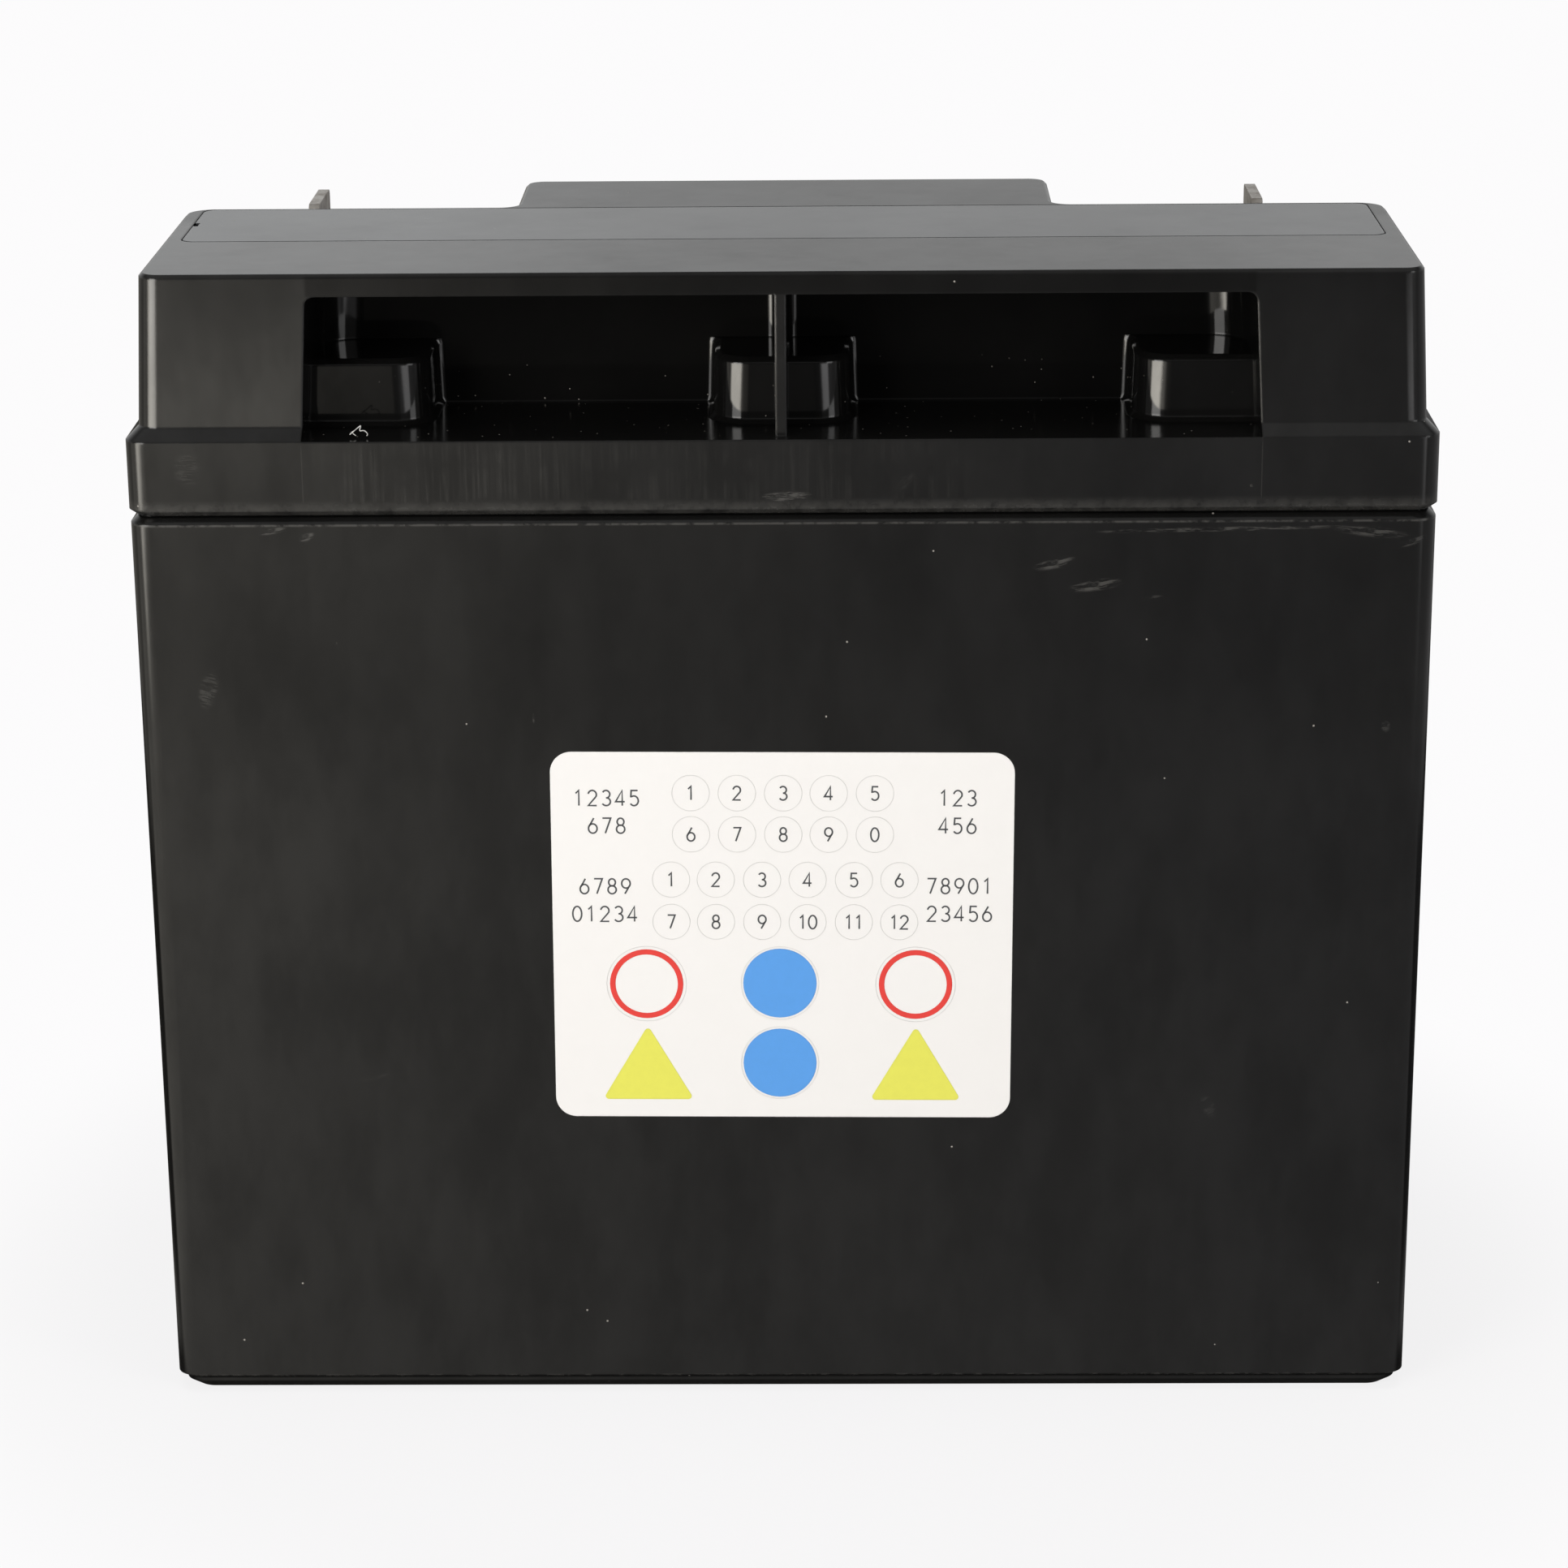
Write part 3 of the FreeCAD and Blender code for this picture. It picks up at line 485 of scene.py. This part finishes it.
def grained(name, dark, light, scale, roughness, height, metallic=0.0, stretch=(1, 1, 1)):
    """Surface between two tones, with grain and bump."""
    material, tree = new_material(name)
    where = stretched(tree, place_in_mm(tree), stretch)
    grain = noise(tree, where, scale, 5.0, 0.6)
    colour = blend(tree, span(tree, grain, 0.3, 0.7), dark, light)
    rough = span(tree, grain, 0.2, 0.8, roughness - 0.08, roughness + 0.08)
    finish_surface(tree, colour, rough, both(tree, grain, height), edge=0.15, metallic=metallic)
    return material


def grey(level):
    """Neutral tone."""
    return (level, level, level, 1)


def printed(name, colour):
    """Printed field on the sticker."""
    dark = tuple(channel * 0.97 for channel in colour[:3]) + (1,)
    return grained(name, dark, colour, 0.8, 0.45, 0.0005)


def tinned_tab():
    """Tin plated brass with a drawn grain and dull patches."""
    material, tree = new_material("tinned_tab")
    where = place_in_mm(tree)
    drawn = noise(tree, stretched(tree, where, (1.0, 1.0, 0.08)), 3.0, 4.0, 0.6)
    patch = noise(tree, where, 0.35, 3.0, 0.6)
    colour = blend(tree, span(tree, patch, 0.35, 0.7), (0.60, 0.57, 0.53, 1), (0.36, 0.32, 0.28, 1))
    rough = span(tree, drawn, 0.3, 0.7, 0.30, 0.52)
    finish_surface(tree, colour, rough, both(tree, drawn, 0.01), edge=0.2, metallic=1.0)
    return material


def positive_paste():
    """Brown cured paste of the positive plates."""
    return grained("positive_paste", (0.055, 0.028, 0.018, 1), (0.11, 0.055, 0.035, 1), 0.6, 0.8, 0.05)


def negative_paste():
    """Grey cured paste of the negative plates."""
    return grained("negative_paste", (0.20, 0.205, 0.215, 1), (0.30, 0.31, 0.33, 1), 0.6, 0.75, 0.05)


def lead():
    """Cast lead of straps, welds and posts."""
    return grained("lead", (0.26, 0.265, 0.28, 1), (0.42, 0.43, 0.45, 1), 0.5, 0.5, 0.03, metallic=1.0)


def glass_mat():
    """White glass mat with upright fibres."""
    light = (0.88, 0.88, 0.86, 1)
    return grained("glass_mat", (0.74, 0.74, 0.71, 1), light, 1.6, 0.95, 0.08, stretch=(1, 1, 0.3))


def dress_nodes():
    """Gives each solid of the battery its material by its slot."""
    looks = {
        "case": moulded_black("case_plastic", "case"),
        "cover": moulded_black("cover_plastic", "cover"),
        "lid": moulded_black("lid_plastic", "lid"),
        "cement": grained("cement", grey(0.02), grey(0.04), 0.8, 0.6, 0.02),
        "sticker": grained("label_film", LABEL_CLOUD, LABEL_WHITE, 0.25, 0.5, 0.002),
        "positive_plate": positive_paste(),
        "negative_plate": negative_paste(),
        "lead": lead(),
        "glass_mat": glass_mat(),
        "rubber": grained("rubber", grey(0.012), grey(0.028), 0.9, 0.7, 0.01),
        "resin": grained("resin", grey(0.008), grey(0.018), 0.3, 0.25, 0.03),
        "tab": tinned_tab(),
    }
    for part in frame["record"]["subparts"]:
        solid = nodes[part["node"]]
        solid.data.materials.clear()
        slot = "lid" if part["node"] == "vent_lid" else part["material_slot"]
        solid.data.materials.append(looks[slot])


# Pieces that ride on the battery

def placed(name, data, material):
    """Object of a mesh or curve that rides on the battery."""
    data.materials.append(material)
    piece = bpy.data.objects.new(name, data)
    bpy.context.scene.collection.objects.link(piece)
    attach(piece, "root")
    return piece


def sticker_lean():
    """How much further back the foot of the sticker's face lies than its top."""
    low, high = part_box("date_label")
    points = [vertex.co for vertex in nodes["date_label"].data.vertices]
    foot = min(point.y for point in points if point.z < low.z + LABEL_END * MM)
    top = min(point.y for point in points if point.z > high.z - LABEL_END * MM)
    return foot - top


STICKER_LEAN = sticker_lean()


def on_label(a, b):
    """Point of the sticker's face at a across and b up."""
    flat = Matrix.Rotation(-LABEL_TURN, 2) @ Vector((a, b))
    x = (flat.x + LABEL_CENTRE[0]) * MM
    z = (flat.y + LABEL_CENTRE[1]) * MM
    low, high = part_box("date_label")
    share = (z - low.z) / (high.z - low.z)
    front = low.y + (1 - share) * STICKER_LEAN
    return Vector((x, front - PRINT_FACE * MM, z))


def field(name, outline, material, inner=None):
    """Thin printed field on the sticker from a closed outline, or from two outlines of a ring."""
    build = bmesh.new()
    outside = [build.verts.new(on_label(*point)) for point in outline]
    if inner:
        inside = [build.verts.new(on_label(*point)) for point in inner]
        for index in range(len(outline)):
            after = (index + 1) % len(outline)
            build.faces.new([outside[index], outside[after], inside[after], inside[index]])
    else:
        build.faces.new(outside)
    bmesh.ops.recalc_face_normals(build, faces=build.faces)
    if sum(face.normal.y for face in build.faces) > 0:
        bmesh.ops.reverse_faces(build, faces=build.faces)
    raised = bmesh.ops.extrude_face_region(build, geom=build.faces[:])
    for item in raised["geom"]:
        if isinstance(item, bmesh.types.BMVert):
            item.co.y -= PRINT_DEPTH * MM
    mesh = bpy.data.meshes.new(name)
    build.to_mesh(mesh)
    build.free()
    return placed(name, mesh, material)


def circle(a, b, radius, count=48):
    """Outline of a circle on the sticker."""
    angles = [2 * math.pi * index / count for index in range(count)]
    return [(a + radius * math.cos(angle), b + radius * math.sin(angle)) for angle in angles]


def ring(name, a, b, radii, material):
    """Printed ring between an outer and an inner radius."""
    return field(name, circle(a, b, radii[0]), material, circle(a, b, radii[1]))


def rounded_triangle(a, b, half_base, rise, radius, steps=6):
    """Outline of an upright triangle with rounded corners whose base is centred at a, b."""
    tips = [Vector((a - half_base, b)), Vector((a + half_base, b)), Vector((a, b + rise))]
    middle = (tips[0] + tips[1] + tips[2]) / 3
    points = []
    for index, tip in enumerate(tips):
        before = (tips[index - 1] - tip).normalized()
        after = (tips[(index + 1) % 3] - tip).normalized()
        half = before.angle(after) / 2
        centre = tip + (middle - tip).normalized() * (radius / math.sin(half))
        start = tip + before * (radius / math.tan(half)) - centre
        turn = math.pi - 2 * half
        for step in range(steps + 1):
            points.append(centre + Matrix.Rotation(turn * step / steps, 2) @ start)
    return [tuple(point) for point in points]


def stroke_points(stroke):
    """Points of one stroke of a digit, in shares of its width and height."""
    if stroke[0] == "line":
        return list(stroke[1:])
    _, a, b, radius_a, radius_b, first, last = stroke
    count = max(6, int(abs(last - first) / 15))
    turns = [math.radians(first + (last - first) * step / count) for step in range(count + 1)]
    return [(a + radius_a * math.cos(turn), b + radius_b * math.sin(turn)) for turn in turns]


def ribbon(build, points, width):
    """Flat ribbon of even width along points on the sticker."""
    spots = [Vector(point) for point in points]
    closed = (spots[0] - spots[-1]).length < 1e-4
    if closed:
        spots.pop()
    count = len(spots)
    sides = []
    for index, spot in enumerate(spots):
        before = spots[index - 1] if closed or index else spot * 2 - spots[1]
        after = spots[(index + 1) % count] if closed or index < count - 1 else spot * 2 - spots[-2]
        inward = (spot - before).normalized()
        outward = (after - spot).normalized()
        mitre = (inward + outward).normalized()
        across = Vector((-mitre.y, mitre.x)) * (width / 2 / max(0.5, mitre.dot(outward)))
        edges = (spot + across, spot - across)
        sides.append([build.verts.new(on_label(*edge)) for edge in edges])
    for index in range(count if closed else count - 1):
        here, there = sides[index], sides[(index + 1) % count]
        build.faces.new([here[0], here[1], there[1], there[0]])


def digits(name, text, a, b, material, scale=1.0, pitch=1.28):
    """Number drawn in thin strokes about a point of the sticker."""
    build = bmesh.new()
    wide = DIGIT_WIDTH * scale
    high = DIGIT_HEIGHT * scale
    for place, sign in enumerate(text):
        middle = a + (place - (len(text) - 1) / 2) * wide * pitch
        for stroke in DIGIT_STROKES[sign]:
            points = [(middle + u * wide, b + (v - 0.5) * high) for u, v in stroke_points(stroke)]
            ribbon(build, points, STROKE)
    mesh = bpy.data.meshes.new(name)
    build.to_mesh(mesh)
    build.free()
    return placed(name, mesh, material)


def print_numbers(faint):
    """Rows of numbers in faint circles, and plain numbers at both sides."""
    dark = printed("print_grey", LABEL_GREY)
    for row, (columns, b, signs) in enumerate(NUMBER_ROWS):
        for column, sign in zip(columns, signs.split()):
            digits(f"number_{row}_{sign}", sign, column, b, dark)
            ring(f"circle_{row}_{sign}", column, b, NUMBER_CIRCLE, faint)
    for index, (a, b, signs) in enumerate(SIDE_NUMBERS):
        digits(f"side_number_{index}", signs, a, b, dark, SIDE_NUMBER_SCALE, SIDE_NUMBER_PITCH)


def print_shapes(faint):
    """Plain red rings over yellow triangles at both sides, and two blue discs between them."""
    red = printed("print_red", RED)
    blue = printed("print_blue", BLUE)
    yellow = printed("print_yellow", YELLOW)
    for side, a in SHAPE_COLUMNS.items():
        ring(f"red_ring_{side}", a, RED_RING_HEIGHT, RED_RING, red)
        ring(f"ring_halo_{side}", a, RED_RING_HEIGHT, RED_RING_HALO, faint)
        triangle = rounded_triangle(
            a + TRIANGLE_SHIFT, TRIANGLE_FOOT, TRIANGLE_HALF_BASE, TRIANGLE_RISE, TRIANGLE_CORNER)
        field(f"yellow_triangle_{side}", triangle, yellow)
    for row, b in DISC_ROWS.items():
        field(f"blue_disc_{row}", circle(DISC_COLUMN, b, DISC_RADIUS), blue)
        ring(f"disc_halo_{row}", DISC_COLUMN, b, DISC_HALO, faint)


def print_label():
    """All print on the sticker."""
    faint = printed("print_faint", FAINT_LINE)
    print_numbers(faint)
    print_shapes(faint)


def strand(name, steps, radius, material):
    """Thin bent fibre through points given from the lint's place."""
    curve = bpy.data.curves.new(name, "CURVE")
    curve.dimensions = "3D"
    line = curve.splines.new("NURBS")
    line.points.add(len(steps) - 1)
    for spot, step in zip(line.points, steps):
        spot.co = (*((Vector(LINT_PLACE) + Vector(step)) * MM), 1)
    line.order_u = 3
    line.use_endpoint_u = True
    curve.bevel_depth = radius * MM
    curve.bevel_resolution = 2
    placed(name, curve, material)


def lint():
    """Curl of lint on the floor of the pocket, near its left end."""
    white = grained("lint_white", (0.55, 0.54, 0.52, 1), (0.8, 0.79, 0.77, 1), 2.0, 0.9, 0.01)
    strand("lint_long", LINT_LONG, LINT_LONG_RADIUS, white)
    strand("lint_short", LINT_SHORT, LINT_SHORT_RADIUS, white)


# Floor, world, lights and camera

def table_level(tree, x, y):
    """Brightness of the table in front: it rises to the left, has a dark seam and fades at its far end."""
    rise = calc(tree, "EXPONENT", both(tree, x, -TABLE_LEFT_RATE))
    level = calc(tree, "ADD", both(tree, rise, TABLE_LEFT_RISE), TABLE_LEVEL)
    level = calc(tree, "MINIMUM", level, span(tree, y, *TABLE_MOST))
    level = dimmed(tree, level, both(tree, between(tree, y, *SEAM_Y, 0.02), SEAM_DEPTH))
    for steps in (TABLE_BEYOND, TABLE_FURTHER, TABLE_END):
        level = both(tree, level, span(tree, y, *steps))
    return level


def sheet_glow(tree, x, y):
    """Brightness of two lit sheets on the table, at the left and at the right, with slanted inner ends."""
    left_bound = calc(tree, "SUBTRACT", both(tree, x, 0.55), y)
    right_bound = calc(tree, "SUBTRACT", both(tree, x, -1.0), y)
    left = both(tree, span(tree, x, *LEFT_SHEET_X), span(tree, left_bound, -0.02, 0.10))
    right = both(tree, span(tree, x, *RIGHT_SHEET_X), span(tree, right_bound, -0.06, 0.10))
    glow = calc(tree, "ADD", both(tree, left, LEFT_SHEET_GLOW), both(tree, right, RIGHT_SHEET_GLOW))
    return both(tree, glow, between(tree, y, *SHEETS_Y, 0.05))


def back_level(tree, x, y):
    """Brightness of the floor behind, darker beside the battery and under it."""
    away = calc(tree, "ABSOLUTE", x)
    strip = both(tree, between(tree, away, *BACK_STRIP_X, 0.03), BACK_STRIP_DEPTH)
    under = both(tree, span(tree, away, *FOOTPRINT_X), span(tree, y, *FOOTPRINT_Y))
    level = calc(tree, "SUBTRACT", BACK_LEVEL, strip)
    return dimmed(tree, level, both(tree, under, FOOTPRINT_DEPTH))


def floor_level(tree, where):
    """Brightness of the floor as reflections show it."""
    x, y, _ = coordinates(tree, where)
    is_front = span(tree, y, *FRONT_FLOOR_Y, 1.0, 0.0)
    table = calc(tree, "ADD", table_level(tree, x, y), sheet_glow(tree, x, y))
    back = dimmed(tree, back_level(tree, x, y), is_front)
    return calc(tree, "ADD", both(tree, table, is_front), back)


def mixed(tree, share, first, second):
    """Shader between two shaders."""
    return add(tree, "ShaderNodeMixShader", {0: share, 1: first.outputs[0], 2: second.outputs[0]})


def reflected_floor(tree, where, is_glossy):
    """Floor seen in reflections as a lit table, and plain grey for all other light."""
    x = coordinates(tree, where)[0]
    warm = blend(tree, span(tree, x, -0.2, 0.15), (1.0, 0.955, 0.86, 1), (1.0, 0.985, 0.99, 1))
    mirror_look = add(tree, "ShaderNodeEmission", {"Color": warm, "Strength": floor_level(tree, where)})
    lit = add(tree, "ShaderNodeBsdfDiffuse", {"Color": grey(0.8)})
    return mixed(tree, is_glossy, lit, mirror_look)


def seen_floor(tree, where):
    """Floor as the camera sees it: white, with a faint contact shadow near the battery."""
    away = add(tree, "ShaderNodeVectorMath", {0: where}, operation="LENGTH").outputs["Value"]
    near = span(tree, away, *CONTACT_REACH, 0.0, CONTACT_SHARE)
    white = add(tree, "ShaderNodeEmission", {"Color": BACKGROUND, "Strength": 1.0})
    paper = add(tree, "ShaderNodeBsdfDiffuse", {"Color": grey(0.9)})
    return mixed(tree, near, white, paper)


def floor():
    """Pale floor that the battery stands on."""
    mesh = bpy.data.meshes.new("floor")
    signs = ((-1, -1), (1, -1), (1, 1), (-1, 1))
    mesh.from_pydata([(a * FLOOR_REACH, b * FLOOR_REACH, -FLOOR_DROP) for a, b in signs], [], [(0, 1, 2, 3)])
    plane = bpy.data.objects.new("floor", mesh)
    bpy.context.scene.collection.objects.link(plane)
    material, tree = new_material("floor")
    where = add(tree, "ShaderNodeTexCoord").outputs["Object"]
    rays = add(tree, "ShaderNodeLightPath").outputs
    unseen = reflected_floor(tree, where, rays["Is Glossy Ray"])
    surface = mixed(tree, rays["Is Camera Ray"], unseen, seen_floor(tree, where))
    add(tree, "ShaderNodeOutputMaterial", {"Surface": surface.outputs[0]})
    mesh.materials.append(material)


def world():
    """White to the camera, a bright backdrop behind the battery and a dim room in front."""
    room = bpy.data.worlds.new("room")
    bpy.context.scene.world = room
    room.use_nodes = True
    tree = room.node_tree
    tree.nodes.clear()
    direction = add(tree, "ShaderNodeTexCoord").outputs["Generated"]
    x, y, z = coordinates(tree, direction)
    is_camera = add(tree, "ShaderNodeLightPath").outputs["Is Camera Ray"]
    left = span(tree, x, -0.15, -0.02, 1.12, 1.0)
    folds = noise(tree, stretched(tree, direction, (1.0, 0.3, 0.6)), 9.0, 3.0, 0.5)
    uneven = both(tree, left, span(tree, folds, 0.3, 0.7, 0.95, 1.09))
    backdrop = both(tree, span(tree, y, -0.35, 0.35, 0.26, 0.62), uneven)
    ceiling = span(tree, z, 0.55, 0.85, 0.0, 0.42)
    around = either(tree, both(tree, backdrop, span(tree, z, 0.75, 0.35)), ceiling)
    tint = blend(tree, backdrop, (1.0, 0.98, 0.96, 1), (0.97, 0.99, 1.0, 1))
    colour = blend(tree, is_camera, tint, BACKGROUND)
    level = add(tree, "ShaderNodeMix", {0: is_camera, 2: around, 3: 1.0})
    background = add(tree, "ShaderNodeBackground", {"Color": colour, "Strength": level.outputs[0]})
    add(tree, "ShaderNodeOutputWorld", {"Surface": background.outputs[0]})


def soft_light(name, azimuth, elevation, distance, size, power):
    """Rectangular lamp that faces the battery: azimuth 0 is in front and grows to the right."""
    data = bpy.data.lights.new(name, "AREA")
    data.shape = "RECTANGLE"
    data.size, data.size_y = size
    data.energy = power
    lamp = bpy.data.objects.new(name, data)
    bpy.context.scene.collection.objects.link(lamp)
    turn, lift = math.radians(azimuth), math.radians(elevation)
    away = Vector((math.sin(turn) * math.cos(lift), -math.cos(turn) * math.cos(lift), math.sin(lift)))
    lamp.location = LAMP_AIM + away * distance
    lamp.rotation_mode = "QUATERNION"
    lamp.rotation_quaternion = (-away).to_track_quat("-Z", "Y")
    return lamp


def lights():
    """Large soft lamps: the main one at the left front, a weaker one at the right, one overhead."""
    left = soft_light("lamp_left", -38, 14, 1.0, (0.5, 0.55), 5.8)
    left.data.color = (1.0, 0.985, 0.96)
    soft_light("lamp_right", 52, 16, 1.2, (0.4, 0.6), 2.6)
    top = soft_light("lamp_top", 0, 78, 1.1, (0.8, 0.6), 3.0)
    top.visible_glossy = False


def camera():
    """Camera at the photograph's place."""
    data = bpy.data.cameras.new("camera")
    data.sensor_width = SENSOR_WIDTH
    data.lens = CAMERA_LENS
    data.clip_start = 0.05
    data.clip_end = 20.0
    view = bpy.data.objects.new("camera", data)
    bpy.context.scene.collection.objects.link(view)
    turn = Matrix.Rotation(math.radians(CAMERA_YAW), 4, "Z")
    tilt = Matrix.Rotation(math.radians(90 - CAMERA_PITCH), 4, "X")
    roll = Matrix.Rotation(math.radians(CAMERA_ROLL), 4, "Z")
    view.matrix_world = Matrix.Translation(CAMERA_PLACE) @ turn @ tilt @ roll
    bpy.context.scene.camera = view


bpy.context.scene.view_settings.view_transform = "Standard"
camera()
world()
floor()
lights()
dress_nodes()
print_label()
lint()
